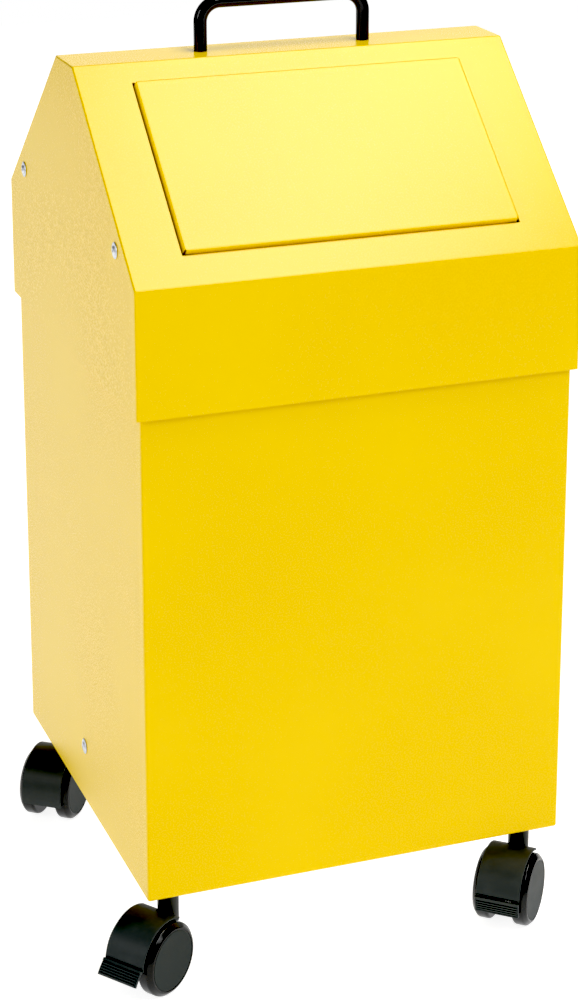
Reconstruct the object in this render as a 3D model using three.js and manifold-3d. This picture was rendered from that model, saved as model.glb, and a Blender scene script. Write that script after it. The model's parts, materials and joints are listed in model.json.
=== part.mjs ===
// Mobile waste bin of folded sheet steel: a box body on four hooded twin-wheel casters, a lift-off
// gabled hood with a sprung push flap and a bow handle, and a galvanised container with a wire bail inside.
// Millimetres, +Z up, front towards -Y, origin on the floor under the middle of the body.
import * as THREE from "three";
import { mergeVertices } from "three/addons/utils/BufferGeometryUtils.js";
import Module from "manifold-3d";

// General
const gap = 0.3; // between pieces that touch
const sheet = 1; // steel sheet of the body and hood
const holePlay = 0.3; // radial play of a shank, rod or pin in its hole

// Body
const bodyWidth = 332;
const bodyDepth = 332;
const bodyHeight = 464;
const bendRadius = 2; // outside radius of the folded vertical edges
const bottomFlange = 16; // turned-in bottom edge
const topHem = 8; // turned-in top edge
const panWall = 58; // height of the base pan's wall
const baseRivetHeight = 48; // above the underside of the body

// Hood
const hoodClearance = 3; // body outside to hood inside
const skirtOverlap = 89; // how far the hood reaches down over the body
const eaveAboveBody = 5.5; // hood's eave above the body's top edge
const roofRise = 128.5; // eave to ridge plate
const ridgeDepth = 44; // depth of the flat ridge plate
const restFoot = 18; // support angle, part that lies on the body's top edge
const restHeight = 36; // support angle, part that stands against the gable
const restThick = 2;
const restEndInset = 15; // support angle's ends to the hood's front and back
const restRoofGap = 3; // support angle to the roof sheet above it
const gableRivetInset = 30; // from the end of the support angle
const gableRivetHeight = 23; // above the foot of the support angle

// Flap and its hinge
const flapSideMargin = 42; // hood's side to the flap
const flapBottomMargin = 26.7; // eave to the flap's bottom edge, along the slope
const flapTopMargin = 19.5; // ridge bend to the flap's top edge, along the slope
const flapProud = 3.5; // flap face above the slope's face
const flapWindowGap = 0.8;
const flapSideFlange = 10.5; // depth of the turned-in sides
const flapTopFlange = 5.5;
const stopLip = 7; // catches under the window's bottom edge when the flap is shut
const stopLipInset = 8; // from each side of the flap
const pivotBelowTop = 8; // hinge axis to the flap's top edge, along the slope
const pivotDepth = 8; // hinge axis below the slope's face
const hingeRodRadius = 3;
const hingeEarWall = 4; // of the flap's ear round the hinge hole
const bracketThick = 2;
const bracketHalfLength = 9;
const bracketFoot = 14;
const bracketOffset = 3.5; // window edge to bracket
const bracketDrop = 8; // bracket below the hinge axis
const hingeRodEnd = 3; // rod beyond the bracket

// Torsion springs of the flap
const springWire = 0.6; // radius
const springRodGap = 1.4; // rod to the coil
const springTurns = 2.75;
const springPitch = 1.7;
const springInset = 16; // flap's side to the coil
const springLeg = 28;
const springLegRise = 4.2;
const springTail = 3;
const springLegPoints = [1, 2 / 3, 1 / 3]; // shares of the leg, from its end to the coil

// Bow handle
const handleSpan = 130; // between leg centres
const handleHeight = 42; // ridge plate to the top of the bar
const handleRadius = 5;
const handleBend = 15; // radius of the bar's centre line
const handleScrewRadius = 2;
const handleScrewDepth = 12;
const handleScrewHead = 4;
const handleScrewHeadHeight = 3;

// Rivets
const rivetRadius = 2;
const rivetHeadRadius = 6;
const rivetHeadHeight = 1.8;
const rivetShoulder = { radius: 3.4, height: 0.9 }; // where the head's cone meets its flat crown
const rivetTail = 3; // inside, beyond the sheets

// Inner container
const linerNutGap = 2.5; // caster nuts to the container's sides
const linerSheet = 1;
const linerRadius = 12;
const linerHem = 8; // height of the doubled rim
const bailWire = 2.5; // radius
const bailLeg = 82; // pivot to cross bar
const bailBend = 6;
const bailFlapGap = 5; // raised bail to the opened flap
const bailPivotDrop = 20; // pivot below the rim
const bailSideGap = 4; // bail plate to the bail's leg
const bailEnd = 5; // bail's turned-in end beyond the container's wall
const bailPlateWidth = 24;
const bailPlateHeight = 26;
const bailPlateThick = 2;

// Casters
const stemEdgeGap = 1; // stem to the body's turned-in bottom edge
const neckRise = 18; // top of the wheels to the underside of the body
const wheelRadius = 28;
const casterWidth = 44; // over both wheels
const wheelWidth = 12.5;
const hubRadius = 8;
const rimRound = 1.6;
const trail = 23; // stem axis to axle
const guardGap = 1.6; // wheel to guard
const guardThick = 1.8;
const guardWidth = 35;
const guardEnd = 130; // degrees above the trailing horizontal, over the stem
const guardStartPlain = -13;
const guardStartBraked = 10;
const webThick = 9;
const webHub = 9;
const webWheelGap = 0.3;
const neckRadius = 8;
const stemRadius = 4;
const stemDepth = 22; // in the neck
const stemTop = 10; // above the underside of the body
const collarRadius = 8.5;
const collarThick = 2.5;
const axleRadius = 3;
const axleHalfLength = 20;
const axleEndPlay = 0.5;
const nutRadius = 7.5;
const nutHeight = 5;
const pedalHinge = 8; // degrees
const pedalEnd = -16;
const pedalThick = 3;
const pedalClearance = 0.8; // pedal inside the guard's inner radius, outwards
const pedalFlare = 45; // degrees a released pedal stands out
const pedalArm = 7; // width of the brake arm between the wheels
const pedalArmReach = 10;
const pedalArmThick = 6;
const pedalHingeGap = 2; // degrees from the hinge to the pedal's edge
const casters = [
  { name: "front_left", side: -1, end: -1, heading: 215, braked: true, flare: pedalFlare },
  { name: "front_right", side: 1, end: -1, heading: 228, braked: true, flare: 0 }, // pressed
  { name: "rear_left", side: -1, end: 1, heading: 232, braked: false },
  { name: "rear_right", side: 1, end: 1, heading: 34, braked: false },
];

// Fineness of round shapes
const roundSides = 24;
const smallSides = 12;
const handleSteps = 36;
const bailSteps = 64;
const springSteps = 48;
const guardSegments = 9;
const cornerSegments = 2;

const deg = THREE.MathUtils.degToRad;

const yellowPaint = new THREE.MeshStandardMaterial({ color: 0xf4cc00, roughness: 0.35, metalness: 0 });
const blackEnamel = new THREE.MeshStandardMaterial({ color: 0x0d0e0e, roughness: 0.15, metalness: 0 });
const blackNylon = new THREE.MeshStandardMaterial({ color: 0x1a1d1d, roughness: 0.5, metalness: 0 });
const zincSheet = new THREE.MeshStandardMaterial({ color: 0xb4b9bb, roughness: 0.4, metalness: 0.9 });
const brightSteel = new THREE.MeshStandardMaterial({ color: 0xc9ced4, roughness: 0.25, metalness: 1 });

const wasm = await Module();
wasm.setup();

function toSolid(geometry) {
  const plain = geometry.clone();
  plain.deleteAttribute("normal");
  plain.deleteAttribute("uv");
  const merged = mergeVertices(plain);
  return new wasm.Manifold(
    new wasm.Mesh({
      numProp: 3,
      vertProperties: merged.attributes.position.array,
      triVerts: new Uint32Array(merged.index.array),
    }),
  );
}

function toGeometry(solid) {
  const mesh = solid.getMesh();
  const shared = new THREE.BufferGeometry();
  shared.setAttribute("position", new THREE.BufferAttribute(mesh.vertProperties, 3));
  shared.setIndex(new THREE.BufferAttribute(mesh.triVerts, 1));
  const faceted = shared.toNonIndexed();
  faceted.computeVertexNormals();
  return faceted;
}

const join = (...pieces) => toGeometry(pieces.map(toSolid).reduce((a, b) => a.add(b)));
const cut = (piece, ...tools) =>
  toGeometry(tools.map(toSolid).reduce((a, b) => a.subtract(b), toSolid(piece)));

// Box from its lowest to its highest corner.
function block(x0, x1, y0, y1, z0, z1) {
  const geometry = new THREE.BoxGeometry(x1 - x0, y1 - y0, z1 - z0);
  return geometry.translate((x0 + x1) / 2, (y0 + y1) / 2, (z0 + z1) / 2);
}

// Cylinder along X, Y or Z from one end to the other; the two other coordinates place its axis.
function pin(axis, radius, from, to, u, v, sides = smallSides) {
  const geometry = new THREE.CylinderGeometry(radius, radius, to - from, sides);
  const middle = (from + to) / 2;
  if (axis === "x") return geometry.rotateZ(-Math.PI / 2).translate(middle, u, v);
  if (axis === "y") return geometry.translate(u, middle, v);
  return geometry.rotateX(Math.PI / 2).translate(u, v, middle);
}

// Prism along X: the shape's own axes become Y and Z.
function prismX(shape, x0, x1, curveSegments = guardSegments) {
  const geometry = new THREE.ExtrudeGeometry(shape, { depth: x1 - x0, bevelEnabled: false, curveSegments });
  const turn = new THREE.Matrix4().makeBasis(
    new THREE.Vector3(0, 1, 0),
    new THREE.Vector3(0, 0, 1),
    new THREE.Vector3(1, 0, 0),
  );
  return geometry.applyMatrix4(turn).translate(x0, 0, 0);
}

// Prism along Y: the shape's own axes become X and Z.
function prismY(shape, y0, y1, curveSegments = guardSegments) {
  const geometry = new THREE.ExtrudeGeometry(shape, { depth: y1 - y0, bevelEnabled: false, curveSegments });
  return geometry.rotateX(Math.PI / 2).translate(0, y1, 0);
}

// Upright prism of a rectangle with rounded corners, centred on the origin in plan.
function roundedPrism(width, depth, radius, z0, z1) {
  const x = width / 2;
  const y = depth / 2;
  const shape = new THREE.Shape();
  shape.moveTo(x, radius - y);
  shape.absarc(x - radius, y - radius, radius, 0, Math.PI / 2);
  shape.absarc(radius - x, y - radius, radius, Math.PI / 2, Math.PI);
  shape.absarc(radius - x, radius - y, radius, Math.PI, Math.PI * 1.5);
  shape.absarc(x - radius, radius - y, radius, Math.PI * 1.5, Math.PI * 2);
  const depthAndRounding = { depth: z1 - z0, bevelEnabled: false, curveSegments: cornerSegments };
  return new THREE.ExtrudeGeometry(shape, depthAndRounding).translate(0, 0, z0);
}

const polygon = (points) => new THREE.Shape(points.map(([u, v]) => new THREE.Vector2(u, v)));

// Round bar along a path.
function bar(path, radius, steps, halfSides = 4) {
  const section = new THREE.Shape().absarc(0, 0, radius, 0, Math.PI * 2);
  return new THREE.ExtrudeGeometry(section, { steps, extrudePath: path, curveSegments: halfSides });
}

// Path of straight runs through the corner points, each corner rounded with the given radius.
function bentPath(points, radius) {
  const path = new THREE.CurvePath();
  const arcHandle = 0.5523; // control length of a cubic quarter circle
  let from = points[0];
  for (let i = 1; i < points.length - 1; i++) {
    const corner = points[i];
    const before = points[i - 1].clone().sub(corner).normalize();
    const after = points[i + 1].clone().sub(corner).normalize();
    const start = corner.clone().addScaledVector(before, radius);
    const end = corner.clone().addScaledVector(after, radius);
    path.add(new THREE.LineCurve3(from, start));
    path.add(
      new THREE.CubicBezierCurve3(
        start,
        start.clone().addScaledVector(before, -radius * arcHandle),
        end.clone().addScaledVector(after, -radius * arcHandle),
        end,
      ),
    );
    from = end;
  }
  path.add(new THREE.LineCurve3(from, points[points.length - 1]));
  return path;
}

const bin = new THREE.Group();

function addMesh(parent, name, geometry, material) {
  const mesh = new THREE.Mesh(geometry, material);
  mesh.name = name;
  parent.add(mesh);
  return mesh;
}

// Heights and half sizes that several pieces share
const bodyBottom = 2 * wheelRadius + neckRise;
const bodyTop = bodyBottom + bodyHeight;
const innerX = bodyWidth / 2 - sheet;
const innerY = bodyDepth / 2 - sheet;
const panFloor = bodyBottom + sheet + gap; // underside of the pan
const panTop = panFloor + sheet;
const hoodX = bodyWidth / 2 + hoodClearance + sheet;
const hoodY = bodyDepth / 2 + hoodClearance + sheet;
const skirtBottom = bodyTop - skirtOverlap;
const eave = bodyTop + eaveAboveBody;
const ridge = eave + roofRise;
const ridgeY = ridgeDepth / 2;
const slopeAngle = Math.atan2(roofRise, hoodY - ridgeY);
const slopeLength = Math.hypot(roofRise, hoodY - ridgeY);
const casterInset = sheet + bottomFlange + stemEdgeGap + stemRadius;
const stemX = bodyWidth / 2 - casterInset;
const stemY = bodyDepth / 2 - casterInset;
const guardInner = wheelRadius + guardGap;
const flapWidth = 2 * (hoodX - flapSideMargin);
const flapLength = slopeLength - flapTopMargin - flapBottomMargin;
const springRadius = hingeRodRadius + springRodGap + springWire;

// The hinge axis of the flap
const pivotRun = slopeLength - flapTopMargin - pivotBelowTop;
const hinge = {
  y: -hoodY + pivotRun * Math.cos(slopeAngle) + pivotDepth * Math.sin(slopeAngle),
  z: eave + pivotRun * Math.sin(slopeAngle) - pivotDepth * Math.cos(slopeAngle),
};
const flapReach = Math.hypot(flapLength - pivotBelowTop + stopLip, pivotDepth);

// Blind rivet along X with its head on the outside; side is -1 or 1, x is the outer sheet's face.
function rivet(side, x, y, z, grip) {
  const profile = [
    [0, -grip - rivetTail],
    [rivetRadius, -grip - rivetTail],
    [rivetRadius, gap],
    [rivetHeadRadius, gap],
    [rivetShoulder.radius, gap + rivetShoulder.height],
    [0, gap + rivetHeadHeight],
  ].map(([r, h]) => new THREE.Vector2(r, h));
  const geometry = new THREE.LatheGeometry(profile, smallSides);
  return geometry.rotateZ((-side * Math.PI) / 2).translate(side * x, y, z);
}

function addBody() {
  const rivetZ = bodyBottom + baseRivetHeight;
  const rivetHole = pin("x", rivetRadius + holePlay, -bodyWidth, bodyWidth, 0, rivetZ);
  const shell = cut(
    roundedPrism(bodyWidth, bodyDepth, bendRadius, bodyBottom, bodyTop),
    roundedPrism(2 * innerX, 2 * innerY, bendRadius - sheet, bodyBottom + sheet, bodyTop - sheet),
    block(bottomFlange - innerX, innerX - bottomFlange, bottomFlange - innerY, innerY - bottomFlange,
      bodyBottom - sheet, bodyTop - 2 * sheet),
    block(topHem - innerX, innerX - topHem, topHem - innerY, innerY - topHem,
      bodyTop - 2 * sheet, bodyTop + sheet),
    rivetHole,
  );
  addMesh(bin, "body_shell", shell, yellowPaint);

  const panX = innerX - gap;
  const panY = innerY - gap;
  const stemHoles = casters.map(({ side, end }) =>
    pin("z", stemRadius + holePlay, panFloor - sheet, panTop + sheet, side * stemX, end * stemY),
  );
  const pan = cut(
    roundedPrism(2 * panX, 2 * panY, bendRadius, panFloor, panFloor + panWall),
    roundedPrism(2 * (panX - sheet), 2 * (panY - sheet), bendRadius - sheet / 2, panTop, bodyTop),
    rivetHole,
    ...stemHoles,
  );
  addMesh(bin, "base_pan", pan, zincSheet);
  for (const [name, side] of [["left", -1], ["right", 1]]) {
    const geometry = rivet(side, bodyWidth / 2, 0, rivetZ, 2 * sheet + gap);
    addMesh(bin, "base_rivet_" + name, geometry, brightSteel);
  }
}

function addLiner() {
  const bottom = panTop + gap;
  const pivotZ = hinge.z - flapReach - bailFlapGap - bailWire - bailLeg;
  const rim = pivotZ + bailPivotDrop;
  const wallX = stemX - nutRadius - linerNutGap;
  const wallY = stemY - nutRadius - linerNutGap;
  const endHoles = pin("x", bailWire + holePlay, -bodyWidth, bodyWidth, 0, pivotZ);
  const hollow = (thick, z0, z1) =>
    roundedPrism(2 * (wallX - thick), 2 * (wallY - thick), linerRadius - thick, z0, z1);
  const liner = cut(
    roundedPrism(2 * wallX, 2 * wallY, linerRadius, bottom, rim),
    hollow(linerSheet, bottom + linerSheet, rim - linerHem),
    hollow(2 * linerSheet, rim - 2 * linerHem, rim + linerHem),
    endHoles,
  );
  addMesh(bin, "liner", liner, zincSheet);
  const plateX = wallX + gap;
  for (const [name, side] of [["left", -1], ["right", 1]]) {
    const xs = [side * plateX, side * (plateX + bailPlateThick)].sort((a, b) => a - b);
    const plate = block(...xs, -bailPlateWidth / 2, bailPlateWidth / 2,
      pivotZ - bailPlateHeight / 2, pivotZ + bailPlateHeight / 2);
    addMesh(bin, "bail_plate_" + name, cut(plate, endHoles), zincSheet);
  }
  const legX = plateX + bailPlateThick + bailSideGap + bailWire;
  const endX = wallX - linerSheet - bailEnd;
  const restRise = bailPivotDrop + bailWire + gap; // the cross bar lies on the rim
  const reach = Math.sqrt(bailLeg ** 2 - restRise ** 2);
  const route = [
    [endX, 0, 0],
    [legX, 0, 0],
    [legX, reach, restRise],
    [-legX, reach, restRise],
    [-legX, 0, 0],
    [-endX, 0, 0],
  ].map(([x, y, z]) => new THREE.Vector3(x, y, pivotZ + z));
  addMesh(bin, "bail", bar(bentPath(route, bailBend), bailWire, bailSteps, 3), brightSteel);
}

// Sheet bent along a polyline in the Y-Z plane: the outer points, then the same line offset inwards.
function bentSheet(points, thick, x0, x1) {
  const normals = points.slice(1).map(([y, z], i) => {
    const [py, pz] = points[i];
    const length = Math.hypot(y - py, z - pz);
    return [(z - pz) / length, (py - y) / length];
  });
  const inner = points.map(([y, z], i) => {
    const a = normals[Math.max(i - 1, 0)];
    const b = normals[Math.min(i, normals.length - 1)];
    const share = thick / (1 + a[0] * b[0] + a[1] * b[1]);
    return [y + (a[0] + b[0]) * share, z + (a[1] + b[1]) * share];
  });
  return prismX(polygon([...points, ...inner.reverse()].reverse()), x0, x1);
}

function addHood() {
  const outline = [
    [-hoodY, skirtBottom],
    [-hoodY, eave],
    [-ridgeY, ridge],
    [ridgeY, ridge],
    [hoodY, eave],
    [hoodY, skirtBottom],
  ];
  const wrapX = hoodX - sheet - gap;
  const window = new THREE.BoxGeometry(
    flapWidth + 2 * flapWindowGap,
    flapLength + 2 * flapWindowGap,
    2 * pivotDepth,
  );
  window.translate(0, pivotBelowTop - flapLength / 2, pivotDepth);
  window.rotateX(slopeAngle).translate(0, hinge.y, hinge.z);
  const screwHoles = [-1, 1].map((side) =>
    pin("z", handleScrewRadius + holePlay, ridge - 2 * sheet, ridge + sheet, (side * handleSpan) / 2, 0),
  );
  const wrap = cut(bentSheet(outline, sheet, -wrapX, wrapX), window, ...screwHoles);
  addMesh(bin, "hood_wrap", wrap, yellowPaint);

  const restBottom = bodyTop + gap;
  const restTop = restBottom + restHeight;
  const restY = hoodY - restEndInset;
  const roofDrop = sheet / Math.cos(slopeAngle) + restRoofGap;
  const roofOver = (y) => eave + (hoodY - y) * Math.tan(slopeAngle) - roofDrop;
  const roofMeets = (z) => hoodY - (z + roofDrop - eave) / Math.tan(slopeAngle);
  const endTop = Math.min(roofOver(restY), restTop);
  const topY = Math.min(roofMeets(restTop), restY);
  const restShape = polygon([
    [-restY, restBottom],
    [restY, restBottom],
    [restY, endTop],
    [topY, restTop],
    [-topY, restTop],
    [-restY, endTop],
  ]);
  const rivetY = restY - gableRivetInset;
  const rivetZ = restBottom + gableRivetHeight;
  const rivetHoles = [-1, 1].map((end) =>
    pin("x", rivetRadius + holePlay, -bodyWidth, bodyWidth, end * rivetY, rivetZ),
  );
  for (const [name, side] of [["left", -1], ["right", 1]]) {
    const ordered = (a, b) => [Math.min(side * a, side * b), Math.max(side * a, side * b)];
    const plate = prismX(polygon([...outline].reverse()), ...ordered(hoodX - sheet, hoodX));
    const gable = cut(plate, ...rivetHoles);
    addMesh(bin, "hood_gable_" + name, gable, yellowPaint);
    const restX = hoodX - sheet - gap;
    const rest = cut(
      join(
        prismX(restShape, ...ordered(restX - restThick, restX)),
        block(...ordered(restX - restFoot, restX), -restY, restY, restBottom, restBottom + restThick),
      ),
      ...rivetHoles,
    );
    addMesh(bin, "hood_rest_" + name, rest, zincSheet);
    for (const [endName, end] of [["front", -1], ["rear", 1]]) {
      const geometry = rivet(side, hoodX, end * rivetY, rivetZ, sheet + gap + restThick);
      addMesh(bin, "gable_rivet_" + name + "_" + endName, geometry, brightSteel);
    }
  }
}

// The flap and its hinge, in a group on the hinge axis: Y runs up the slope and Z points out of it.
function addFlap() {
  const frame = new THREE.Group();
  frame.position.set(0, hinge.y, hinge.z);
  frame.rotation.x = slopeAngle;
  bin.add(frame);

  const x = flapWidth / 2;
  const top = pivotBelowTop;
  const bottom = pivotBelowTop - flapLength;
  const face = pivotDepth + flapProud;
  const roofUnder = pivotDepth - sheet;
  const sideShape = polygon([
    [bottom, face - flapSideFlange],
    [top, face - flapSideFlange],
    [top, face - sheet / 2],
    [bottom, face - sheet / 2],
  ]);
  const ears = [-1, 1].flatMap((side) => {
    const xs = [side * (x - sheet), side * x].sort((a, b) => a - b);
    return [prismX(sideShape, ...xs), pin("x", hingeRodRadius + hingeEarWall, ...xs, 0, 0, roundSides)];
  });
  const pan = join(
    block(-x, x, bottom, top, face - sheet, face),
    block(-x, x, bottom, bottom + sheet, roofUnder - gap - sheet, face - sheet / 2),
    block(stopLipInset - x, x - stopLipInset, bottom - stopLip, bottom + sheet / 2, roofUnder - gap - sheet,
      roofUnder - gap),
    block(-x, x, top - sheet, top, face - flapTopFlange, face - sheet / 2),
    ...ears,
  );
  const rodHole = pin("x", hingeRodRadius + holePlay, -bodyWidth, bodyWidth, 0, 0);
  addMesh(frame, "flap", cut(pan, rodHole), yellowPaint);

  const bracketX = x + flapWindowGap + bracketOffset;
  const rodX = bracketX + bracketThick + hingeRodEnd;
  addMesh(frame, "hinge_rod", pin("x", hingeRodRadius, -rodX, rodX, 0, 0), brightSteel);
  for (const [name, side] of [["left", -1], ["right", 1]]) {
    const ordered = (a, b) => [Math.min(side * a, side * b), Math.max(side * a, side * b)];
    const bracketTop = roofUnder - gap;
    const bracket = join(
      block(...ordered(bracketX, bracketX + bracketThick), -bracketHalfLength, bracketHalfLength,
        -bracketDrop, bracketTop),
      block(...ordered(bracketX, bracketX + bracketFoot), -bracketHalfLength, bracketHalfLength,
        bracketTop - bracketThick, bracketTop),
    );
    addMesh(frame, "hinge_bracket_" + name, cut(bracket, rodHole), zincSheet);
    addMesh(frame, "flap_spring_" + name, spring(side, x - springInset), brightSteel);
  }
}

// Torsion spring round the hinge rod: a leg along the flap, then the coil, then a short tail.
function spring(side, x) {
  const points = springLegPoints.map(
    (t) => new THREE.Vector3(side * x, -springLeg * t, springRadius + springLegRise * t),
  );
  const count = Math.round(springTurns * smallSides);
  for (let i = 0; i <= count; i++) {
    const turn = i / smallSides;
    const angle = Math.PI / 2 - turn * Math.PI * 2;
    const along = side * (x - turn * springPitch);
    points.push(new THREE.Vector3(along, springRadius * Math.cos(angle), springRadius * Math.sin(angle)));
  }
  const [before, last] = points.slice(-2);
  points.push(last.clone().addScaledVector(last.clone().sub(before).normalize(), springTail));
  return bar(new THREE.CatmullRomCurve3(points), springWire, springSteps, 3);
}

function addHandle() {
  const x = handleSpan / 2;
  const foot = ridge + gap;
  const top = ridge + handleHeight - handleRadius;
  const route = [
    [-x, foot],
    [-x, top],
    [x, top],
    [x, foot],
  ].map(([px, pz]) => new THREE.Vector3(px, 0, pz));
  const bow = bar(bentPath(route, handleBend), handleRadius, handleSteps, 5);
  const bores = [-1, 1].map((side) =>
    pin("z", handleScrewRadius + holePlay, foot - sheet, foot + handleScrewDepth + holePlay, side * x, 0),
  );
  addMesh(bin, "handle", cut(bow, ...bores), blackEnamel);
  for (const [name, side] of [["left", -1], ["right", 1]]) {
    const under = ridge - sheet - gap;
    const screw = join(
      pin("z", handleScrewRadius, under - sheet, foot + handleScrewDepth, side * x, 0),
      pin("z", handleScrewHead, under - handleScrewHeadHeight, under, side * x, 0),
    );
    addMesh(bin, "handle_screw_" + name, screw, brightSteel);
  }
}

// Sector of a ring about the axle, in the caster's X-Z plane.
function ringSector(inner, outer, from, to) {
  const shape = new THREE.Shape();
  shape.absarc(0, 0, outer, deg(from), deg(to), false);
  if (inner > 0) shape.absarc(0, 0, inner, deg(to), deg(from), true);
  else shape.lineTo(0, 0);
  return shape;
}

// In a caster's group X runs from the stem towards the axle, Y along the axle and Z up from the floor.
function casterHousing(guardStart) {
  const guardOuter = guardInner + guardThick;
  const y = guardWidth / 2;
  const place = (geometry) => geometry.translate(trail, 0, wheelRadius);
  const guard = place(prismY(ringSector(guardInner, guardOuter, guardStart, guardEnd), -y, y));
  const neckTop = bodyBottom - gap - collarThick - gap;
  const wheelSpace = pin("y", guardInner, -y - 1, y + 1, trail, wheelRadius, 2 * roundSides);
  const neck = cut(pin("z", neckRadius, wheelRadius, neckTop, 0, 0, roundSides), wheelSpace);
  const web = place(
    prismY(ringSector(0, guardOuter - guardThick / 2, guardStart, guardEnd), -webThick / 2, webThick / 2),
  );
  const hub = pin("y", webHub, -webThick / 2, webThick / 2, trail, wheelRadius, roundSides);
  return cut(
    join(guard, neck, web, hub),
    pin("y", axleRadius + holePlay, -casterWidth, casterWidth, trail, wheelRadius),
    pin("z", stemRadius + holePlay, neckTop - stemDepth - 2 * gap, bodyTop, 0, 0),
  );
}

function casterWheel(side) {
  const face = casterWidth / 2;
  const inside = face - wheelWidth;
  const hubFace = webThick / 2 + webWheelGap;
  const boreEnd = axleHalfLength + axleEndPlay;
  const boreRadius = axleRadius + holePlay;
  const profile = [
    [0, boreEnd],
    [boreRadius, boreEnd],
    [boreRadius, hubFace],
    [hubRadius, hubFace],
    [hubRadius, inside],
    [wheelRadius - rimRound, inside],
    [wheelRadius, inside + rimRound],
    [wheelRadius, face - 2 * rimRound],
    [wheelRadius - 2 * rimRound, face],
    [0, face],
  ].map(([r, h]) => new THREE.Vector2(r, h));
  const geometry = new THREE.LatheGeometry(profile, roundSides);
  if (side < 0) geometry.rotateZ(Math.PI);
  return geometry.translate(trail, 0, wheelRadius);
}

// Brake pedal: a plate that carries on the guard's curve and stands out by the flare angle when released.
function casterPedal(flare) {
  const inner = guardInner + pedalClearance;
  const y = guardWidth / 2;
  const start = pedalHinge - pedalHingeGap;
  const plate = prismY(ringSector(inner, inner + pedalThick, pedalEnd, start), -y, y);
  const armAngle = deg((pedalEnd + start) / 2);
  const arm = block(inner - pedalArmReach, inner + pedalThick / 2, -pedalArm / 2, pedalArm / 2,
    -pedalArmThick / 2, pedalArmThick / 2);
  arm.rotateY(-armAngle);
  const hingeX = inner * Math.cos(deg(pedalHinge));
  const hingeZ = inner * Math.sin(deg(pedalHinge));
  const pedal = join(plate, arm).translate(-hingeX, 0, -hingeZ);
  return pedal.rotateY(deg(-flare)).translate(hingeX + trail, 0, hingeZ + wheelRadius);
}

function addCasters() {
  for (const { name, side, end, heading, braked, flare } of casters) {
    const caster = new THREE.Group();
    caster.position.set(side * stemX, end * stemY, 0);
    caster.rotation.z = deg(heading);
    bin.add(caster);
    const prefix = "caster_" + name + "_";
    const collarTop = bodyBottom - gap;
    const collarBottom = collarTop - collarThick;
    const stem = join(
      pin("z", stemRadius, collarBottom - stemDepth, bodyBottom + stemTop, 0, 0),
      pin("z", collarRadius, collarBottom, collarTop, 0, 0, roundSides),
    );
    addMesh(caster, prefix + "stem", stem, brightSteel);
    const nut = cut(
      pin("z", nutRadius, panTop + gap, panTop + gap + nutHeight, 0, 0, 6),
      pin("z", stemRadius + holePlay, bodyBottom, bodyTop, 0, 0),
    );
    addMesh(caster, prefix + "nut", nut, brightSteel);
    const guardStart = braked ? guardStartBraked : guardStartPlain;
    addMesh(caster, prefix + "housing", casterHousing(guardStart), blackNylon);
    const axle = pin("y", axleRadius, -axleHalfLength, axleHalfLength, trail, wheelRadius);
    addMesh(caster, prefix + "axle", axle, brightSteel);
    addMesh(caster, prefix + "wheel_a", casterWheel(-1), blackNylon);
    addMesh(caster, prefix + "wheel_b", casterWheel(1), blackNylon);
    if (braked) addMesh(caster, prefix + "brake", casterPedal(flare), blackNylon);
  }
}

addBody();
addLiner();
addHood();
addFlap();
addHandle();
addCasters();

export default bin;
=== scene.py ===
import json
import math

import bmesh
import bpy
from mathutils import Matrix, Vector


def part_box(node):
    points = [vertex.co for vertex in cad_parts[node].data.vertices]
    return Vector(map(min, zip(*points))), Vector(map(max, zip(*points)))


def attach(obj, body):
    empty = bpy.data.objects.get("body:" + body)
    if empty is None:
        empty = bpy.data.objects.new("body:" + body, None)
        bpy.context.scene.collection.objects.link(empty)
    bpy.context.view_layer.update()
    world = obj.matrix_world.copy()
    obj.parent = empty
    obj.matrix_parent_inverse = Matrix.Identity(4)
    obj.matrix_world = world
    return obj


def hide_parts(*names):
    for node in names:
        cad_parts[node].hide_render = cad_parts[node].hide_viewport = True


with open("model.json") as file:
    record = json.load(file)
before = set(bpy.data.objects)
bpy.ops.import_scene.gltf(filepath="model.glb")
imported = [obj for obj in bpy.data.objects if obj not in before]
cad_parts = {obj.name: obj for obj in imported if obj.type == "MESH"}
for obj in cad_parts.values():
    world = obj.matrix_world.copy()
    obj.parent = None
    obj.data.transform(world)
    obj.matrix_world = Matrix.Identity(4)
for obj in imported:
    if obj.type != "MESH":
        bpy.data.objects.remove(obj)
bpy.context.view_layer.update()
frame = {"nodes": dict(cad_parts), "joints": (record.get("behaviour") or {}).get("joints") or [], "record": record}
mm = 0.001
jointByName = {joint["name"]: joint for joint in frame["joints"]}
slotOfNode = {row["node"]: row["material_slot"] for row in frame["record"]["subparts"]}
replacedNodes = set()
print("frame loaded:", len(frame["nodes"]), "nodes")


# node trees, for materials and geometry alike
class Signal:  # an output socket that can stand in a sum
    def __init__(self, graph, socket):
        self.graph = graph
        self.socket = socket

    def maths(self, operation, left, right):
        return self.graph.add("ShaderNodeMath", {"operation": operation}, {0: left, 1: right})

    def __add__(self, other):
        return self.maths("ADD", self, other)

    def __radd__(self, other):
        return self.maths("ADD", other, self)

    def __sub__(self, other):
        return self.maths("SUBTRACT", self, other)

    def __rsub__(self, other):
        return self.maths("SUBTRACT", other, self)

    def __mul__(self, other):
        return self.maths("MULTIPLY", self, other)

    def __rmul__(self, other):
        return self.maths("MULTIPLY", other, self)


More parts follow.
